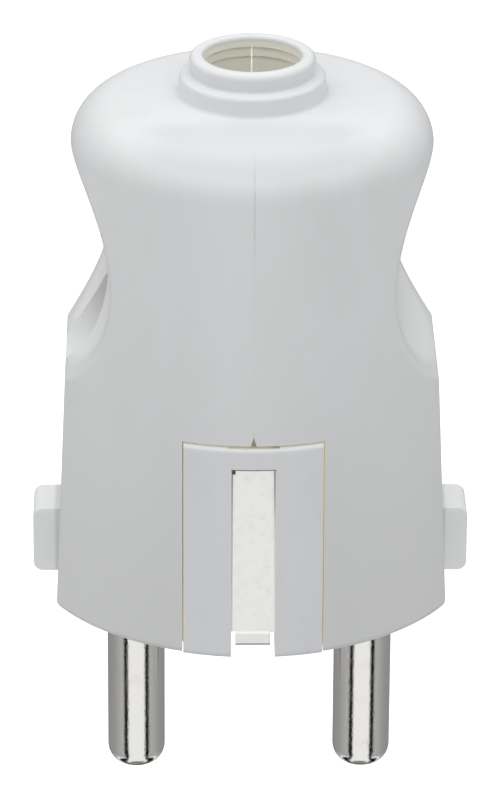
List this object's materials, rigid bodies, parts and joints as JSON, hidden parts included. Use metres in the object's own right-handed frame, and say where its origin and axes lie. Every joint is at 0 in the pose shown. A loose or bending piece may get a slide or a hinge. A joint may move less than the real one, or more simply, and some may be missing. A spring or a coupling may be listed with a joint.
{
  "type": "schuko plug",
  "caption": "White rewirable earthed mains plug with round pins, side earth contacts and a straight cord entry on top.",
  "frame": {"origin": "middle of the engagement face, halfway between the two pins", "axes": "+Z out of the back of the plug through the cord entry, X through both pins, -Y the picture's front"},
  "size_m": [0.036, 0.0366, 0.064],
  "materials": {
    "cover": "semi-gloss",
    "carrier": "semi-gloss",
    "pin_metal": "bright nickel",
    "strip_metal": "satin nickel",
    "screw_steel": "zinc plated",
    "clamp_plastic": "matte"
  },
  "bodies": {
    "root": {"left_shell": "cover", "right_shell": "cover", "pin_carrier": "carrier", "left_pin": "pin_metal", "right_pin": "pin_metal", "earth_bracket": "strip_metal", "earth_clamp_washer": "screw_steel", "cord_clamp": "clamp_plastic", "housing_nut": "screw_steel", "housing_screw": "screw_steel", "earth_terminal_screw": "screw_steel", "left_terminal_screw": "screw_steel", "right_terminal_screw": "screw_steel", "front_clamp_screw": "screw_steel", "back_clamp_screw": "screw_steel"}
  },
  "joints": []
}
